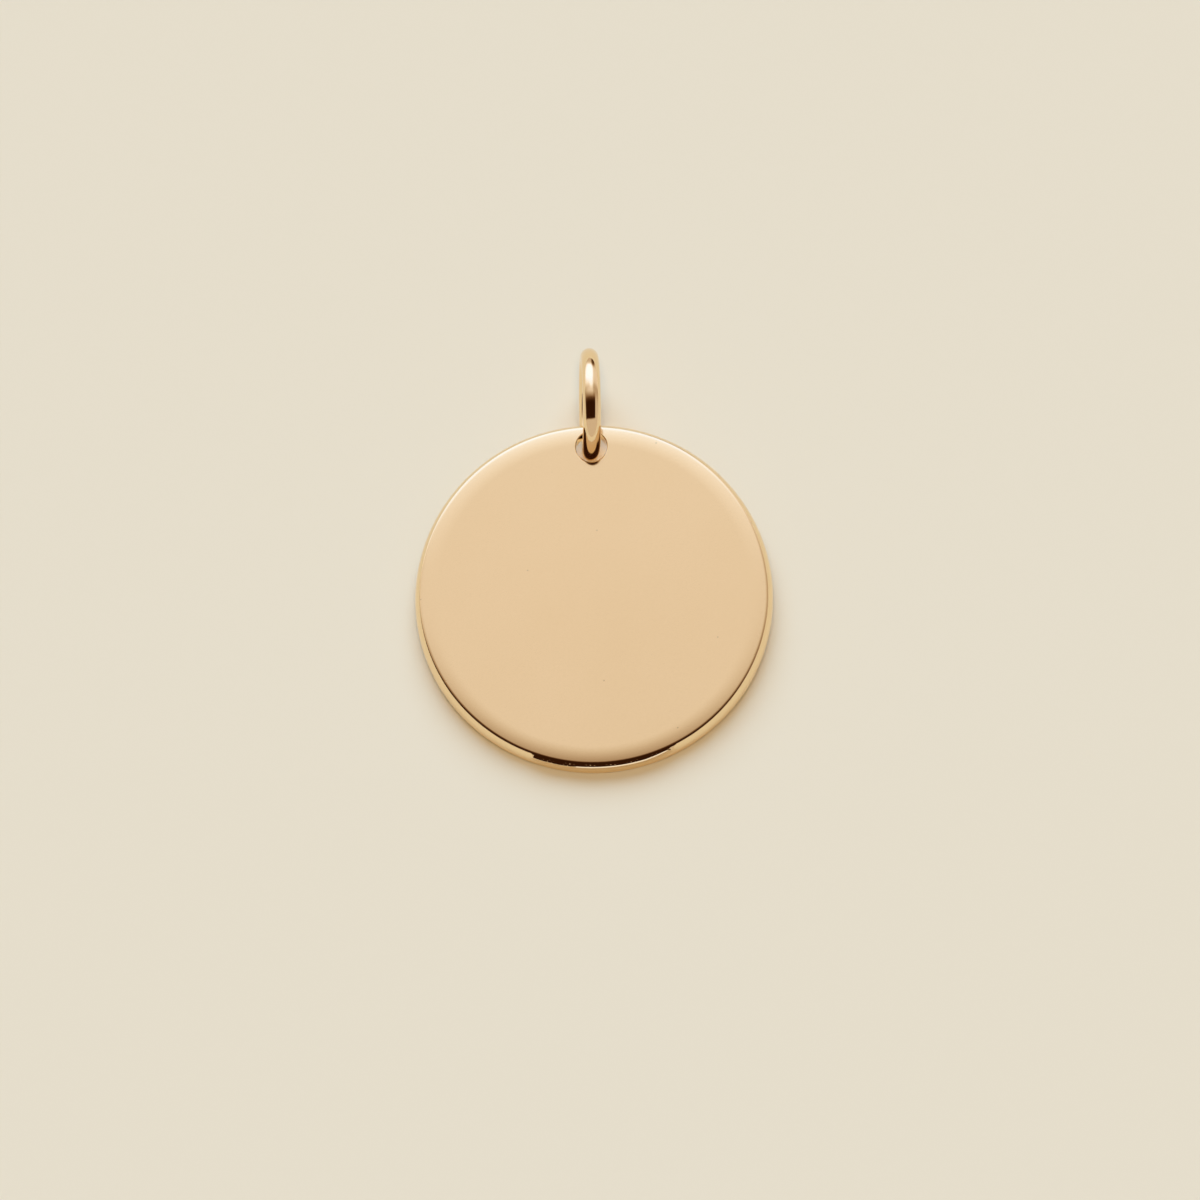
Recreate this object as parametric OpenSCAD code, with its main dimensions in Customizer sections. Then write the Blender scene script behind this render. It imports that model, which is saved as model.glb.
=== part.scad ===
// Disc pendant: a plain polished disc with one small hole and a round-wire jump ring through it.
// It lies on a level surface: the disc rests on its back rim and is raised at the hole,
// where the ring stands upright on the surface.
// X across, Y from the disc towards the ring, Z up. The surface is Z = 0, and the origin lies
// under the middle of the whole length.

/* [Disc] */
// Outside diameter of the disc
disc_d = 16; // [12:0.5:22]
// Thickness of the disc
disc_t = 0.9; // [0.8:0.05:1.1]
// Diameter of the hole for the jump ring
hole_d = 1.4; // [1.4:0.05:1.8]
// Metal left between the hole and the rim
web_w = 0.45; // [0.45:0.05:1.2]

/* [Disc edges] */
// Radius of the soft roll-off that runs round the front face
roll_r = 9; // [5:1:12]
// Radius of the shoulder between the roll-off and the fine crease
shoulder_r = 0.5; // [0.4:0.05:0.8]
// Radius of the fine crease that runs round the front edge
crease_r = 0.07; // [0.04:0.01:0.12]
// Radius of the rounded side wall, as a share of the thickness
wall_share = 1.2; // [0.9:0.05:1.2]
// Radius of the back edge, as a share of the thickness
back_share = 0.18; // [0.1:0.01:0.2]
// Radius of the hole's softened edges
hole_edge_r = 0.06; // [0.04:0.01:0.08]

/* [Jump ring] */
// Diameter of the round wire
wire_d = 0.81; // [0.6:0.01:0.82]
// Inside diameter of the ring
ring_id = 3.45; // [3.4:0.05:5]
// Lean of the ring to the side, in degrees
ring_lean = 3.3; // [0:0.1:4]
// Turn of the ring about the vertical, in degrees
ring_turn = 0.8; // [0:0.1:3]

/* [Hidden] */
$fn = 192;

disc_r = disc_d / 2;
hole_r = hole_d / 2;
hole_y = disc_r - web_w - hole_r;

// Front of the section: four arcs that meet without a corner. The three directions are square to the
// surface where they meet, about 4, 16 and 53 degrees off the axis.
roll_end = [0.07584, 0.99712];
shoulder_end = [0.28, 0.96];
crease_end = [0.8, 0.6];
wall_r = wall_share * disc_t;
back_r = back_share * disc_t;
flat_r = disc_r - wall_r * (1 - crease_end[0]) - crease_r * (crease_end[0] - shoulder_end[0])
    - shoulder_r * (shoulder_end[0] - roll_end[0]) - roll_r * roll_end[0];
roll_c = [flat_r, disc_t - roll_r];
shoulder_c = roll_c + (roll_r - shoulder_r) * roll_end;
crease_c = shoulder_c + (shoulder_r - crease_r) * shoulder_end;
wall_c = crease_c - (wall_r - crease_r) * crease_end;
back_c = [disc_r - back_r, back_r];
edge_depth = hole_edge_r / 1.2;
over = 1;

// The ring's middle lies a fixed height above the back face, which lets it clear the rim, and a little
// off the hole's middle. It stands near the inner end of its play in the hole.
wire_r = wire_d / 2;
ring_r = ring_id / 2 + wire_r;
ring_over_back = 1.27;
ring_aside = -0.03;
play_share = 0.45;
ring_up = ring_over_back - disc_t;
near_y = hole_y - hole_r + sqrt((ring_r + wire_r) ^ 2 - (ring_up + edge_depth) ^ 2);
far_y = hole_y + hole_r + sqrt((ring_r - wire_r) ^ 2 - (ring_over_back - edge_depth) ^ 2);
ring_y = near_y + play_share * (far_y - near_y);
ring_z = ring_r * cos(ring_lean) + wire_r;

// Tilt at which the back rim and the ring both touch the surface
reach_y = ring_y + back_c[0];
reach_z = ring_over_back - back_c[1];
tilt = asin((ring_z - back_c[1]) / norm([reach_y, reach_z])) - atan2(reach_z, reach_y);
lift = back_c[1] + back_c[0] * sin(tilt) - back_c[1] * cos(tilt);

// The ring's middle before the whole is centred, and the two ends of the whole length
ring_at = ring_y * cos(tilt) - ring_over_back * sin(tilt);
ring_end = ring_at + ring_r * sqrt(1 - (sin(ring_turn) * cos(ring_lean)) ^ 2) + wire_r;
disc_end = wall_c[0] * cos(tilt) + wall_c[1] * sin(tilt) + wall_r;
mid_y = (ring_end - disc_end) / 2;

// Slice between an arc and its chord. u and v are the unit directions to the arc's two ends.
module bulge(c, r, u, v) {
    intersection() {
        translate(c) circle(r);
        polygon([c + r * u, c + r * (2 * u + v), c + r * (u + 2 * v), c + r * v]);
    }
}

module disc_section() {
    polygon([
        [0, 0],
        [back_c[0], 0],
        [disc_r, back_c[1]],
        [disc_r, wall_c[1]],
        wall_c + wall_r * crease_end,
        crease_c + crease_r * shoulder_end,
        shoulder_c + shoulder_r * roll_end,
        [flat_r, disc_t],
        [0, disc_t]
    ]);
    bulge(roll_c, roll_r, [0, 1], roll_end);
    bulge(shoulder_c, shoulder_r, roll_end, shoulder_end);
    bulge(crease_c, crease_r, shoulder_end, crease_end);
    bulge(wall_c, wall_r, crease_end, [1, 0]);
    bulge(back_c, back_r, [1, 0], [0, -1]);
}

// Flare that softens the hole's edge at a face of height z
module hole_flare(z) {
    difference() {
        translate([0, z - edge_depth]) square([hole_r + hole_edge_r, edge_depth + over]);
        translate([hole_r + hole_edge_r, z - edge_depth]) circle(hole_edge_r);
    }
}

module hole_cut() {
    translate([0, hole_y, 0]) rotate_extrude() {
        translate([0, -over]) square([hole_r, disc_t + 2 * over]);
        hole_flare(disc_t);
        translate([0, disc_t]) mirror([0, 1]) hole_flare(disc_t);
    }
}

module disc() {
    color("burlywood")
    translate([0, -mid_y, lift]) rotate([tilt, 0, 0]) difference() {
        rotate_extrude() disc_section();
        hole_cut();
    }
}

module jump_ring() {
    color("burlywood")
    translate([ring_aside, ring_at - mid_y, ring_z])
    rotate([0, ring_lean, ring_turn]) rotate([0, 90, 0])
    rotate_extrude() translate([ring_r, 0]) circle(wire_r);
}

disc();
jump_ring();
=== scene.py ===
from math import asin, atan2, cos, degrees, hypot, pi, radians, sin, sqrt, tan

import bpy
from mathutils import Matrix, Vector


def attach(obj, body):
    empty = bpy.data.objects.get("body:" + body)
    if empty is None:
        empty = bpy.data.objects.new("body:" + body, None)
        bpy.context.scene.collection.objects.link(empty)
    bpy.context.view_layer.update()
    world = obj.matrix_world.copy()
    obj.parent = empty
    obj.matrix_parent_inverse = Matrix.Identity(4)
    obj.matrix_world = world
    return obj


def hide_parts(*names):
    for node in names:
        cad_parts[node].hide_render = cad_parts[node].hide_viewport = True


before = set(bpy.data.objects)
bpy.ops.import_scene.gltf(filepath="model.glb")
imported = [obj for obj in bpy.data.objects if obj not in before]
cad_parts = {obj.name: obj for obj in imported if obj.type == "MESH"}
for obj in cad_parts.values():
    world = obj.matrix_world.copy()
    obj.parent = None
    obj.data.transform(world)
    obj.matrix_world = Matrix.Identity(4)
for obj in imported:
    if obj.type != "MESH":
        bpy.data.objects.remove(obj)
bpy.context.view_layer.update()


# Disc
# A plain round disc of solid yellow gold, drilled once close to the rim. It is polished on a soft wheel,
# so the face rolls off a little before a fine crease, and the side wall is rounded. It lies on its back
# rim, and the jump ring raises it by about 4 degrees at the hole.

# All sizes are in millimetres until a point is stored, which is then in metres
MM = 0.001
disc_r, disc_t = 8.0, 0.9
hole_r, web_w, hole_soft = 0.7, 0.45, 0.05
roll_r, shoulder_r, crease_r, wall_r = 9.0, 0.5, 0.07, 1.2 * disc_t
back_r = 0.18 * disc_t
wire_r, ring_r, ring_over_back, ring_aside = 0.405, 2.13, 1.27, -0.03
ring_lean, ring_turn, play_share = radians(3.3), radians(0.8), 0.45

# The front's four arcs meet without a corner: the roll-off, the shoulder, the crease and the side wall.
# Their ends are given by the surface's slope, from level on the face to upright on the wall.
slopes = [0.0, asin(0.07584), asin(0.28), asin(0.8), pi / 2]
radii = [roll_r, shoulder_r, crease_r, wall_r]
flat_r = disc_r - sum(r * (sin(b) - sin(a)) for r, a, b in zip(radii, slopes, slopes[1:]))
centres = [Vector((flat_r, disc_t - roll_r))]
for r, r_next, slope in zip(radii, radii[1:], slopes[1:]):
    centres.append(centres[-1] + (r - r_next) * Vector((sin(slope), cos(slope))))
wall_c = centres[-1]
back_c = Vector((disc_r - back_r, back_r))
hole_y = disc_r - web_w - hole_r

# Where the ring stands in the hole, and the tilt at which the back rim and the ring touch the surface
ring_up = ring_over_back - disc_t
near_y = hole_y - hole_r + sqrt((ring_r + wire_r) ** 2 - (ring_up + hole_soft) ** 2)
far_y = hole_y + hole_r + sqrt((ring_r - wire_r) ** 2 - (ring_over_back - hole_soft) ** 2)
ring_y = near_y + play_share * (far_y - near_y)
ring_z = ring_r * cos(ring_lean) + wire_r
reach = Vector((ring_y + back_c.x, ring_over_back - back_c.y))
tilt = asin((ring_z - back_c.y) / reach.length) - atan2(reach.y, reach.x)
lift = back_c.y + back_c.x * sin(tilt) - back_c.y * cos(tilt)
ring_at = ring_y * cos(tilt) - ring_over_back * sin(tilt)
ring_end = ring_at + ring_r * sqrt(1 - (sin(ring_turn) * cos(ring_lean)) ** 2) + wire_r
disc_end = wall_c.x * cos(tilt) + wall_c.y * sin(tilt) + wall_r
mid_y = (ring_end - disc_end) / 2
disc_place = Matrix.Translation((0, -mid_y, lift)) @ Matrix.Rotation(tilt, 4, "X")


def arc_rows(centre, radius, start, end, steps):
    """Distances, heights and directions along an arc of the section, without its first point."""
    along = [start + (end - start) * k / steps for k in range(1, steps + 1)]
    return [(centre.x + radius * sin(a), centre.y + radius * cos(a), sin(a), cos(a)) for a in along]


def front_at(rho):
    """Height and slope of the front at a distance from the disc's middle."""
    if rho <= flat_r:
        return disc_t, 0.0
    part = sum(rho > c.x + r * sin(s) for c, r, s in zip(centres, radii, slopes[1:]))
    slope = asin((rho - centres[part].x) / radii[part])
    return centres[part].y + radii[part] * cos(slope), slope


# Near the disc's lowest point the edge has been dented: outside the crease lies a narrow flat, and the
# metal pressed out of it stands up in a thin burr at its outer end. The dent starts short and runs out
# slowly. The flat is scuffed, so that its direction varies from point to point.
# Each row: angle round the disc in degrees, width of the flat, width of the burr's inner side.
dent = [(248.6, 0.0, 0.0), (249.4, 0.14, 0.0), (262.0, 0.14, 0.0), (263.5, 0.10, 0.05), (272.0, 0.09, 0.06),
        (286.0, 0.09, 0.06), (294.0, 0.04, 0.05), (297.0, 0.0, 0.0)]
flat_slope, burr_slope, outer_slope, scuff = radians(24), radians(-4), radians(85), radians(9)
scuff_fine, scuff_coarse, scuff_skew = 57, 23, 9
dent_end = radians(72)

# Of the wall's rows down to the dent's end, these shares lie before the burr's foot, before its crest, and
# before the direction turns over its top. A dent narrower than full_w fades into the round wall, and a
# burr narrower than burr_least shows only its outer side.
foot_part, crest_part, burr_part = 0.5, 0.75, 0.72
burr_least, full_w = 0.03, 0.1


def dented(rho, z, out, up, angle):
    """A point of the side wall and its direction, moved to where the dent lies."""
    turn, slope = degrees(angle) % 360, atan2(out, up)
    if not dent[0][0] < turn < dent[-1][0] or not slopes[2] < slope < dent_end:
        return rho, z, out, up
    if slope <= slopes[3]:
        slope = min(slope, flat_slope)
        return rho, z, sin(slope), cos(slope)
    a, b = next((a, b) for a, b in zip(dent, dent[1:]) if a[0] <= turn <= b[0])
    k = (turn - a[0]) / (b[0] - a[0])
    flat_w, burr_w = a[1] + (b[1] - a[1]) * k, a[2] + (b[2] - a[2]) * k
    start = wall_c + wall_r * Vector((sin(slopes[3]), cos(slopes[3])))
    end = wall_c + wall_r * Vector((sin(dent_end), cos(dent_end)))
    foot = start + flat_w * Vector((1, -tan(flat_slope)))
    crest = foot + burr_w * Vector((1, -tan(burr_slope)))
    part = (slope - slopes[3]) / (dent_end - slopes[3])
    for lo, hi, p, q in ((0.0, foot_part, start, foot), (foot_part, crest_part, foot, crest),
                         (crest_part, 1.0, crest, end)):
        if part <= hi:
            spot = p.lerp(q, (part - lo) / (hi - lo))
            break
    full = min(1.0, (flat_w + burr_w) / full_w)
    spot = Vector((rho, z)).lerp(spot, full)
    if part <= foot_part:
        facing = flat_slope + scuff * sin(scuff_fine * turn) * sin(scuff_coarse * turn + scuff_skew * part)
    elif part < burr_part and burr_w > burr_least:
        facing = burr_slope
    else:
        facing = outer_slope
    facing = slope + (facing - slope) * full
    return spot.x, spot.y, sin(facing), cos(facing)


def face_point(x, y, back):
    """A point of the front or back face and its direction, with the hole's rounded edge."""
    off = Vector((x, y - hole_y))
    u = min(1.0, max(0.0, (hole_r + hole_soft - off.length) / hole_soft))
    left = sqrt(1 - u * u)
    into = -u * off.normalized()
    if back:
        return (x, y, hole_soft * (1 - left)), Vector((into.x, into.y, -left))
    rho = hypot(x, y)
    height, slope = front_at(rho)
    lean = left * tan(slope) / rho
    facing = Vector((into.x + lean * x, into.y + lean * y, left)).normalized()
    return (x, y, height - hole_soft * (1 - left)), facing


# The disc is turned from rows of points, as on a lathe. Round the hole, front and back, a window is left
# open and then filled with loops that close in on the hole and round its edge over.
turn_n, window_n = 540, 15
flat_n, roll_n, shoulder_n, crease_n, wall_n, upright_n, back_n = 8, 8, 6, 8, 30, 4, 12
window_in, window_out = 5.2, 7.72
window_rho = [window_in + (flat_r - window_in) * k / flat_n for k in range(flat_n + 1)]
window_rho += [row[0] for row in arc_rows(centres[0], roll_r, 0, slopes[1], roll_n)]
roll_end = window_rho[-1]
window_rho += [roll_end + (window_out - roll_end) * k / shoulder_n for k in range(1, shoulder_n + 1)]

disc_points, disc_directions, disc_faces = [], [], []


def add_point(point, direction):
    disc_points.append(disc_place @ Vector(point) * MM)
    disc_directions.append(disc_place.to_3x3() @ direction)
    return len(disc_points) - 1


def turned_row(*row):
    made = []
    for i in range(turn_n):
        a = pi / 2 + 2 * pi * i / turn_n
        rho, z, out, up = dented(*row, a)
        made.append(add_point((rho * cos(a), rho * sin(a), z), Vector((out * cos(a), out * sin(a), up))))
    return made


def front_row(rho):
    z, slope = front_at(rho)
    return turned_row(rho, z, sin(slope), cos(slope))


middle = [0.6, 1.8, 3.4]
front_middle = [front_row(rho) for rho in middle]
front_window = [front_row(rho) for rho in window_rho]
rim_rows = arc_rows(centres[1], shoulder_r, front_at(window_out)[1], slopes[2], shoulder_n)
rim_rows += arc_rows(centres[2], crease_r, slopes[2], slopes[3], crease_n)
rim_rows += arc_rows(wall_c, wall_r, slopes[3], pi / 2, wall_n)
upright = back_c.y - wall_c.y
rim_rows += [(disc_r, wall_c.y + upright * k / upright_n, 1, 0) for k in range(1, upright_n + 1)]
rim_rows += arc_rows(back_c, back_r, pi / 2, pi, back_n)
rim = [turned_row(*row) for row in rim_rows]
back_window = [turned_row(rho, 0, 0, -1) for rho in reversed(window_rho)]
back_middle = [turned_row(rho, 0, 0, -1) for rho in reversed(middle)]


def join(rows, window=False):
    for a, b in zip(rows, rows[1:]):
        for i in range(turn_n):
            if not (window and (i < window_n or i >= turn_n - window_n)):
                j = (i + 1) % turn_n
                disc_faces.append((a[i], b[i], b[j], a[j]))


join(front_middle + front_window[:1])
join(front_window, window=True)
join(front_window[-1:] + rim + back_window[:1])
join(back_window, window=True)
join(back_window[-1:] + back_middle)
for row, centre_z in ((front_middle[0], disc_t), (back_middle[-1], 0)):
    centre = add_point((0, 0, centre_z), Vector((0, 0, 1 if centre_z else -1)))
    for i in range(turn_n):
        j = (i + 1) % turn_n
        disc_faces.append((centre, row[i], row[j]) if centre_z else (centre, row[j], row[i]))


close_n, soft_n = 8, 10


def hole_loops(rows, back):
    """Loops from the window's edge in to the hole. The rows are given from the disc's middle outwards."""
    arc = [(turn_n - window_n + m) % turn_n for m in range(2 * window_n + 1)]
    edge = [rows[0][i] for i in arc] + [row[arc[-1]] for row in rows[1:]]
    edge += [rows[-1][i] for i in reversed(arc[:-1])] + [row[arc[0]] for row in reversed(rows[1:-1])]
    flat = [disc_place.inverted() @ (disc_points[v] / MM) for v in edge]
    offs = [Vector((p.x, p.y - hole_y)) for p in flat]
    soft_r = hole_r + hole_soft
    loops = [[soft_r + (off.length - soft_r) * k / close_n for off in offs]
             for k in range(close_n - 1, 0, -1)]
    loops += [[hole_r + hole_soft * (1 - sin(pi / 2 * k / soft_n))] * len(offs) for k in range(soft_n + 1)]
    made = [edge]
    for loop in loops:
        spots = [off.normalized() * r for off, r in zip(offs, loop)]
        made.append([add_point(*face_point(s.x, s.y + hole_y, back)) for s in spots])
    for a, b in zip(made, made[1:]):
        for i in range(len(a)):
            j = (i + 1) % len(a)
            disc_faces.append((a[i], a[j], b[j], b[i]) if back else (a[i], b[i], b[j], a[j]))
    return made[-1]


front_hole = hole_loops(front_window, False)
back_hole = hole_loops(back_window[::-1], True)
for i in range(len(front_hole)):
    j = (i + 1) % len(front_hole)
    disc_faces.append((front_hole[i], back_hole[i], back_hole[j], front_hole[j]))

disc_mesh = bpy.data.meshes.new("gold_disc")
disc_mesh.from_pydata(disc_points, [], disc_faces)
disc_mesh.validate()
disc_mesh.shade_smooth()
disc_mesh.normals_split_custom_set_from_vertices(disc_directions)
gold_disc = bpy.data.objects.new("gold_disc", disc_mesh)
bpy.context.scene.collection.objects.link(gold_disc)


# Polished gold. The group gives the fine marks that it shows close up, for the disc and the ring alike:
# a faint cloud in its colour and gloss, grain, pits and a few dark specks.
def socket(group, name, kind, way, value=None):
    s = group.interface.new_socket(name=name, in_out=way, socket_type=kind)
    if value is not None:
        s.default_value = value
    return s


polish = bpy.data.node_groups.new("hand_polish", "ShaderNodeTree")
socket(polish, "Gold", "NodeSocketColor", "INPUT", (0.9, 0.7, 0.4, 1))
socket(polish, "Deep gold", "NodeSocketColor", "INPUT", (0.85, 0.6, 0.3, 1))
socket(polish, "Cloud scale", "NodeSocketFloat", "INPUT", 150.0)
socket(polish, "Grain scale", "NodeSocketFloat", "INPUT", 9000.0)
socket(polish, "Haze", "NodeSocketFloat", "INPUT", 0.08)
socket(polish, "Color", "NodeSocketColor", "OUTPUT")
socket(polish, "Roughness", "NodeSocketFloat", "OUTPUT")
socket(polish, "Height", "NodeSocketFloat", "OUTPUT")


def node(tree, kind, place, **values):
    n = tree.nodes.new(kind)
    n.location = place
    for key, value in values.items():
        if key.startswith("in_"):
            n.inputs[key[3:].replace("_", " ")].default_value = value
        else:
            setattr(n, key, value)
    return n


group_in = node(polish, "NodeGroupInput", (-900, 0))
group_out = node(polish, "NodeGroupOutput", (700, 0))
where = node(polish, "ShaderNodeTexCoord", (-900, -300))
cloud = node(polish, "ShaderNodeTexNoise", (-600, 200), in_Detail=3.0, in_Roughness=0.55)
grain = node(polish, "ShaderNodeTexNoise", (-600, -100), in_Detail=2.0, in_Roughness=0.6)
pits = node(polish, "ShaderNodeTexVoronoi", (-600, -400), feature="F1", in_Scale=2600.0)
link = polish.links.new
link(where.outputs["Object"], cloud.inputs["Vector"])
link(where.outputs["Object"], grain.inputs["Vector"])
link(where.outputs["Object"], pits.inputs["Vector"])
link(group_in.outputs["Cloud scale"], cloud.inputs["Scale"])
link(group_in.outputs["Grain scale"], grain.inputs["Scale"])
tone = node(polish, "ShaderNodeMapRange", (-350, 250), in_From_Min=0.3, in_From_Max=0.7)
uneven = node(polish, "ShaderNodeMix", (-450, 350), in_Factor=0.4)
link(cloud.outputs["Fac"], uneven.inputs["A"])
link(grain.outputs["Fac"], uneven.inputs["B"])
link(uneven.outputs["Result"], tone.inputs["Value"])
mix = node(polish, "ShaderNodeMix", (-100, 250), data_type="RGBA")
link(tone.outputs["Result"], mix.inputs["Factor"])
link(group_in.outputs["Gold"], mix.inputs["A"])
link(group_in.outputs["Deep gold"], mix.inputs["B"])
specks = node(polish, "ShaderNodeTexVoronoi", (-600, 500), feature="F1", in_Scale=800.0)
link(where.outputs["Object"], specks.inputs["Vector"])
speck = node(polish, "ShaderNodeMapRange", (-350, 500), in_From_Min=0.01, in_From_Max=0.035, in_To_Min=0.7)
link(specks.outputs["Distance"], speck.inputs["Value"])
spotted = node(polish, "ShaderNodeVectorMath", (100, 350), operation="SCALE")
link(mix.outputs["Result"], spotted.inputs["Vector"])
link(speck.outputs["Result"], spotted.inputs["Scale"])
link(spotted.outputs["Vector"], group_out.inputs["Color"])
cloud_haze, grain_height = 0.03, 0.25
haze = node(polish, "ShaderNodeMath", (-100, 0), operation="MULTIPLY_ADD")
haze.inputs[1].default_value = cloud_haze
link(tone.outputs["Result"], haze.inputs[0])
link(group_in.outputs["Haze"], haze.inputs[2])
link(haze.outputs["Value"], group_out.inputs["Roughness"])
pit = node(polish, "ShaderNodeMapRange", (-350, -400), in_From_Min=0.04, in_From_Max=0.1)
link(pits.outputs["Distance"], pit.inputs["Value"])
relief = node(polish, "ShaderNodeMath", (100, -200), operation="MULTIPLY_ADD")
relief.inputs[1].default_value = grain_height
link(grain.outputs["Fac"], relief.inputs[0])
link(pit.outputs["Result"], relief.inputs[2])
link(relief.outputs["Value"], group_out.inputs["Height"])


def gold_material(name, gold, deep, cloud_scale, grain_scale, haze, strength):
    material = bpy.data.materials.new(name)
    material.use_nodes = True
    tree = material.node_tree
    shader = tree.nodes["Principled BSDF"]
    shader.inputs["Metallic"].default_value = 1.0
    use = node(tree, "ShaderNodeGroup", (-500, 0), node_tree=polish)
    use.inputs["Gold"].default_value = gold
    use.inputs["Deep gold"].default_value = deep
    use.inputs["Cloud scale"].default_value = cloud_scale
    use.inputs["Grain scale"].default_value = grain_scale
    use.inputs["Haze"].default_value = haze
    bump = node(tree, "ShaderNodeBump", (-250, -200), in_Strength=strength, in_Distance=0.000002)
    tree.links.new(use.outputs["Color"], shader.inputs["Base Color"])
    tree.links.new(use.outputs["Roughness"], shader.inputs["Roughness"])
    tree.links.new(use.outputs["Height"], bump.inputs["Height"])
    tree.links.new(bump.outputs["Normal"], shader.inputs["Normal"])
    return material


gold_disc.data.materials.append(gold_material(
    "disc_gold", gold=(0.945, 0.737, 0.453, 1), deep=(0.917, 0.705, 0.42, 1),
    cloud_scale=160.0, grain_scale=11000.0, haze=0.07, strength=0.3))
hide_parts("disc")
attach(gold_disc, "root")


# Jump ring
# A round gold wire of 0.81 mm, bent to a ring with a 3.45 mm eye, closed and polished. It is threaded
# through the disc's hole and stands upright on the surface, almost square to the disc.
ring_place = (Matrix.Translation((ring_aside, ring_at - mid_y, ring_z)) @ Matrix.Rotation(ring_turn, 4, "Z")
              @ Matrix.Rotation(ring_lean, 4, "Y") @ Matrix.Rotation(pi / 2, 4, "Y"))
ring_n, wire_n = 320, 72
ring_points, ring_faces = [], []
for i in range(ring_n):
    a = 2 * pi * i / ring_n
    for k in range(wire_n):
        b = 2 * pi * k / wire_n
        rho = ring_r + wire_r * cos(b)
        ring_points.append(ring_place @ Vector((rho * cos(a), rho * sin(a), wire_r * sin(b))) * MM)
        i2, k2 = (i + 1) % ring_n, (k + 1) % wire_n
        ring_faces.append((i * wire_n + k, i2 * wire_n + k, i2 * wire_n + k2, i * wire_n + k2))
ring_mesh = bpy.data.meshes.new("gold_ring")
ring_mesh.from_pydata(ring_points, [], ring_faces)
ring_mesh.validate()
ring_mesh.shade_smooth()
gold_ring = bpy.data.objects.new("gold_ring", ring_mesh)
bpy.context.scene.collection.objects.link(gold_ring)
gold_ring.data.materials.append(gold_material(
    "ring_gold", gold=(0.94, 0.73, 0.445, 1), deep=(0.93, 0.71, 0.425, 1),
    cloud_scale=700.0, grain_scale=12000.0, haze=0.05, strength=0.2))
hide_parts("jump_ring")
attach(gold_ring, "root")


# Floor
# A plain pale cream surface, matt like card, that reaches 3 m to each side. The pendant lies on it, and it
# is no part of the object.
floor_mesh = bpy.data.meshes.new("floor")
half = 3.0
floor_corners = [(-half, -half, 0), (half, -half, 0), (half, half, 0), (-half, half, 0)]
floor_mesh.from_pydata(floor_corners, [], [(0, 1, 2, 3)])
floor = bpy.data.objects.new("floor", floor_mesh)
bpy.context.scene.collection.objects.link(floor)
floor_material = bpy.data.materials.new("pale_floor")
floor_material.use_nodes = True
floor_shader = floor_material.node_tree.nodes["Principled BSDF"]
floor_shader.inputs["Base Color"].default_value = (0.744, 0.691, 0.565, 1)
floor_shader.inputs["Roughness"].default_value = 0.9
floor_shader.inputs["Specular IOR Level"].default_value = 0.2
floor.data.materials.append(floor_material)


# Studio
# The room that the gold shows: a pale ceiling, a large soft lamp high at the back on the left, and a dark
# shape where the camera and its stand are. The pale floor has softer lights of its own.
world = bpy.data.worlds.new("studio")
bpy.context.scene.world = world
world.use_nodes = True
world_tree = world.node_tree
world_tree.nodes.clear()


def calc(op, a, b=None, c=None):
    n = world_tree.nodes.new("ShaderNodeMath")
    n.operation = op
    for s, v in zip(n.inputs, (a, b, c)):
        if v is None:
            continue
        if isinstance(v, (int, float)):
            s.default_value = v
        else:
            world_tree.links.new(v, s)
    return n.outputs[0]


def curve(value, stops):
    """A smooth curve through stops of (input, output)."""
    n = world_tree.nodes.new("ShaderNodeFloatCurve")
    c = n.mapping.curves[0]
    lo, hi = stops[0][0], stops[-1][0]
    top = max(s[1] for s in stops)
    pts = [((x - lo) / (hi - lo), y / top) for x, y in stops]
    while len(c.points) < len(pts):
        c.points.new(0.5, 0.5)
    for p, (x, y) in zip(c.points, pts):
        p.location = (x, y)
        p.handle_type = "AUTO_CLAMPED"
    n.mapping.update()
    world_tree.links.new(calc("DIVIDE", calc("SUBTRACT", value, lo), hi - lo), n.inputs["Value"])
    return calc("MULTIPLY", n.outputs[0], top)


# A map of the room, in degrees from straight overhead: aside to +X, and away from the camera to +Y
coords = world_tree.nodes.new("ShaderNodeTexCoord")
split = world_tree.nodes.new("ShaderNodeSeparateXYZ")
world_tree.links.new(coords.outputs["Generated"], split.inputs[0])
dx, dy, dz = split.outputs
level = calc("SQRT", calc("ADD", calc("MULTIPLY", dx, dx), calc("MULTIPLY", dy, dy)))
steep = calc("MULTIPLY", calc("ARCCOSINE", dz), degrees(1))
spread = calc("DIVIDE", steep, calc("MAXIMUM", level, 0.001))
aside, away = calc("MULTIPLY", dx, spread), calc("MULTIPLY", dy, spread)
bow = calc("MULTIPLY", aside, aside)

# The pale ceiling, which grows brighter towards the back of the room
glow_bow, glow_drop = 0.01, 8.0
beyond = calc("SUBTRACT", away, calc("MINIMUM", calc("MULTIPLY", bow, glow_bow), glow_drop))
ceiling = calc("MULTIPLY",
               curve(beyond, [(-90, 0.855), (10, 0.855), (12, 0.90), (15, 0.99), (17, 1.06), (18.7, 1.14),
                              (20.4, 1.24), (29, 1.34), (42, 1.38), (60, 1.1), (78, 0.60), (90, 0.60)]),
               curve(aside, [(-90, 0.55), (-60, 0.78), (-40, 0.92), (-20, 0.98), (0, 1.0), (10, 0.98),
                             (20, 0.82), (28, 0.66), (40, 0.61), (90, 0.61)]))

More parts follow.
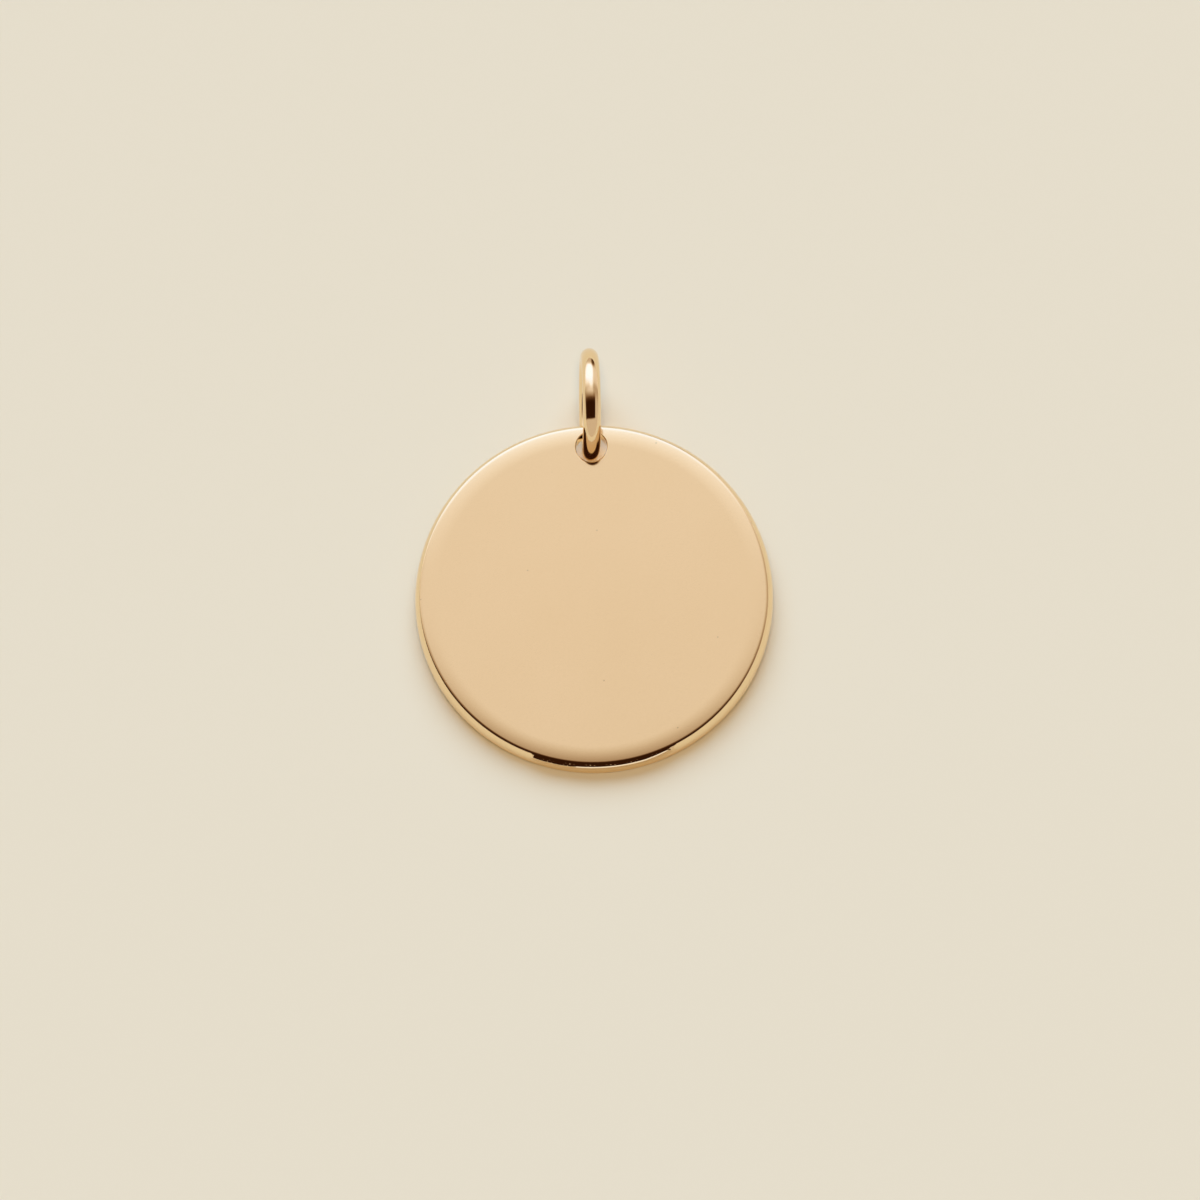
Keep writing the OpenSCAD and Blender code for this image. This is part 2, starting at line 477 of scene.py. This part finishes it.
# A large soft lamp, high at the back and to the left
lamp_level = 0.9
lamp = calc("MULTIPLY",
            curve(aside, [(-90, 0.6), (-65, 1.0), (-12, 1.0), (4, 0.78), (16, 0.45), (26, 0.14),
                          (36, 0.0), (90, 0.0)]),
            curve(away, [(-90, 0.0), (16, 0.0), (26, 0.06), (34, 0.25), (41, 0.65), (47, 1.0), (64, 1.0),
                         (72, 0.6), (80, 0.2), (90, 0.05)]))
lamp = calc("MULTIPLY", lamp,
            curve(steep, [(0, 1.0), (66, 1.0), (76, 0.5), (84, 0.2), (90, 0.1), (180, 0.1)]))
top_light = calc("ADD", ceiling, calc("MULTIPLY", lamp, lamp_level))

# A dark piece of furniture low at the back, a little to the right
dark_at, dark_width = (28, 82), 1.25
dark_x = calc("DIVIDE", calc("SUBTRACT", aside, dark_at[0]), dark_width)
dark_y = calc("SUBTRACT", away, dark_at[1])
dark_far = calc("SQRT", calc("ADD", calc("MULTIPLY", dark_x, dark_x), calc("MULTIPLY", dark_y, dark_y)))
top_light = calc("MULTIPLY", top_light,
                 curve(dark_far, [(0, 0.15), (7, 0.2), (16, 0.7), (26, 1.0), (300, 1.0)]))

# The camera and its stand: a dark shape from overhead down towards the camera's side and out to the left
stand_bow, stand_dark, front_level = 0.0028, 0.955, 0.66
low_edge = calc("SUBTRACT", away, calc("MULTIPLY", bow, stand_bow))
in_front = curve(low_edge, [(-140, 0.0), (-52, 0.0), (-47, 1.0), (90, 1.0)])
in_left = curve(aside, [(-180, 0.0), (-95, 0.0), (-72, 1.0), (43, 1.0), (52, 0.0), (180, 0.0)])
stand = calc("MULTIPLY", in_front, in_left)
front_light = calc("MULTIPLY", calc("SUBTRACT", 1.0, calc("MULTIPLY", stand, stand_dark)), front_level)

# From the dark shape the ceiling comes up softly, a little later on the left
rise_bow = 0.0014
left_bow = calc("MULTIPLY", calc("MULTIPLY", bow, rise_bow), calc("LESS_THAN", aside, 0.0))
rise = curve(calc("SUBTRACT", away, left_bow),
             [(-90, 0.0), (-16, 0.0), (-8, 0.07), (-2, 0.36), (4, 0.72), (8, 0.94), (10.2, 1.0), (90, 1.0)])
light = calc("ADD", calc("MULTIPLY", top_light, rise),
             calc("MULTIPLY", front_light, calc("SUBTRACT", 1.0, rise)))

# Dim parts of the room are warm and bright parts are white. Red, green and blue each rise by a power of
# the light and ease in to a highest level.
colour = world_tree.nodes.new("ShaderNodeCombineColor")
for channel, power, highest, easing in ((0, 1.0, 1.08, 0.5), (1, 1.33, 1.38, 1.2), (2, 1.67, 2.0, 0.5)):
    risen = calc("POWER", light, power)
    world_tree.links.new(calc("SMOOTH_MIN", risen, highest, easing), colour.inputs[channel])
room = world_tree.nodes.new("ShaderNodeBackground")
world_tree.links.new(colour.outputs[0], room.inputs["Color"])
plain = world_tree.nodes.new("ShaderNodeBackground")
plain.inputs["Color"].default_value = (0.80, 0.73, 0.60, 1)

path = world_tree.nodes.new("ShaderNodeLightPath")
both = world_tree.nodes.new("ShaderNodeMixShader")
out = world_tree.nodes.new("ShaderNodeOutputWorld")
world_tree.links.new(path.outputs["Is Camera Ray"], both.inputs[0])
world_tree.links.new(room.outputs[0], both.inputs[1])
world_tree.links.new(plain.outputs[0], both.inputs[2])
world_tree.links.new(both.outputs[0], out.inputs["Surface"])
world.cycles_visibility.diffuse = False


# The floor is lit by soft lights that the gold doesn't show: warm light from all round and from overhead,
# and cooler window light from the back
def floor_light(name, colour, strength, toward, spread):
    light_data = bpy.data.lights.new(name, "SUN")
    light_data.color, light_data.energy, light_data.angle = colour, strength, radians(spread)
    light_object = bpy.data.objects.new(name, light_data)
    light_object.rotation_euler = Vector(toward).to_track_quat("Z", "Y").to_euler()
    light_object.visible_glossy = False
    bpy.context.scene.collection.objects.link(light_object)


floor_light("all_round", (1.0, 0.80, 0.57), 0.73, (0, 0, 1), 160)
floor_light("overhead", (1.0, 0.74, 0.46), 1.33, (0.02, -0.20, 0.97), 14)
floor_light("window", (0.56, 0.76, 1.0), 3.2, (-0.05, 0.66, 0.68), 58)

# The gold round the hole throws warm light down on the surface under it. A small warm panel just below
# the disc's back stands for that light.
under_gap, under_size = 0.02, 2.2
under = bpy.data.lights.new("under_glow", "AREA")
under.shape, under.size, under.color, under.energy = "DISK", under_size * MM, (1.0, 0.52, 0.20), 0.000015
under_glow = bpy.data.objects.new("under_glow", under)
under_glow.location = disc_place @ Vector((0, hole_y, -under_gap)) * MM
under_glow.rotation_euler = (tilt, 0, 0)
under_glow.visible_glossy = under_glow.visible_camera = False
bpy.context.scene.collection.objects.link(under_glow)


# Camera
# A long lens, 19 degrees off the vertical and slightly rolled, as the photograph was taken. The disc's
# middle is placed where the photograph shows it, on a picture of 1200 by 1200.
picture, sensor = 1200, 36.0
azimuth, elevation, roll = radians(3.05), radians(70.87), radians(4.08)
back_v = Vector((sin(azimuth) * cos(elevation), -cos(azimuth) * cos(elevation), sin(elevation)))
right = Vector((cos(azimuth), sin(azimuth), 0))
up = back_v.cross(right)
cam_x = right * cos(roll) - up * sin(roll)
cam_y = up * cos(roll) + right * sin(roll)
face_mid = disc_place @ Vector((0, 0, disc_t))

# Far is the camera's distance in millimetres, and focal its focal length in the picture's pixels
far, focal = 300.0, 6732.0
seen_at = (593.74, 594.37)
shift = Vector((seen_at[0] - picture / 2, picture / 2 - seen_at[1])) * far / focal
eye = face_mid + back_v * far - cam_x * shift.x - cam_y * shift.y
camera_data = bpy.data.cameras.new("camera")
camera_data.sensor_width = sensor
camera_data.lens = sensor * focal / picture
camera_data.clip_start, camera_data.clip_end = 0.01, 20
camera = bpy.data.objects.new("camera", camera_data)
bpy.context.scene.collection.objects.link(camera)
camera.matrix_world = Matrix.Translation(eye * MM) @ Matrix((cam_x, cam_y, back_v)).transposed().to_4x4()
bpy.context.scene.camera = camera

bpy.context.scene.view_settings.view_transform = "Standard"
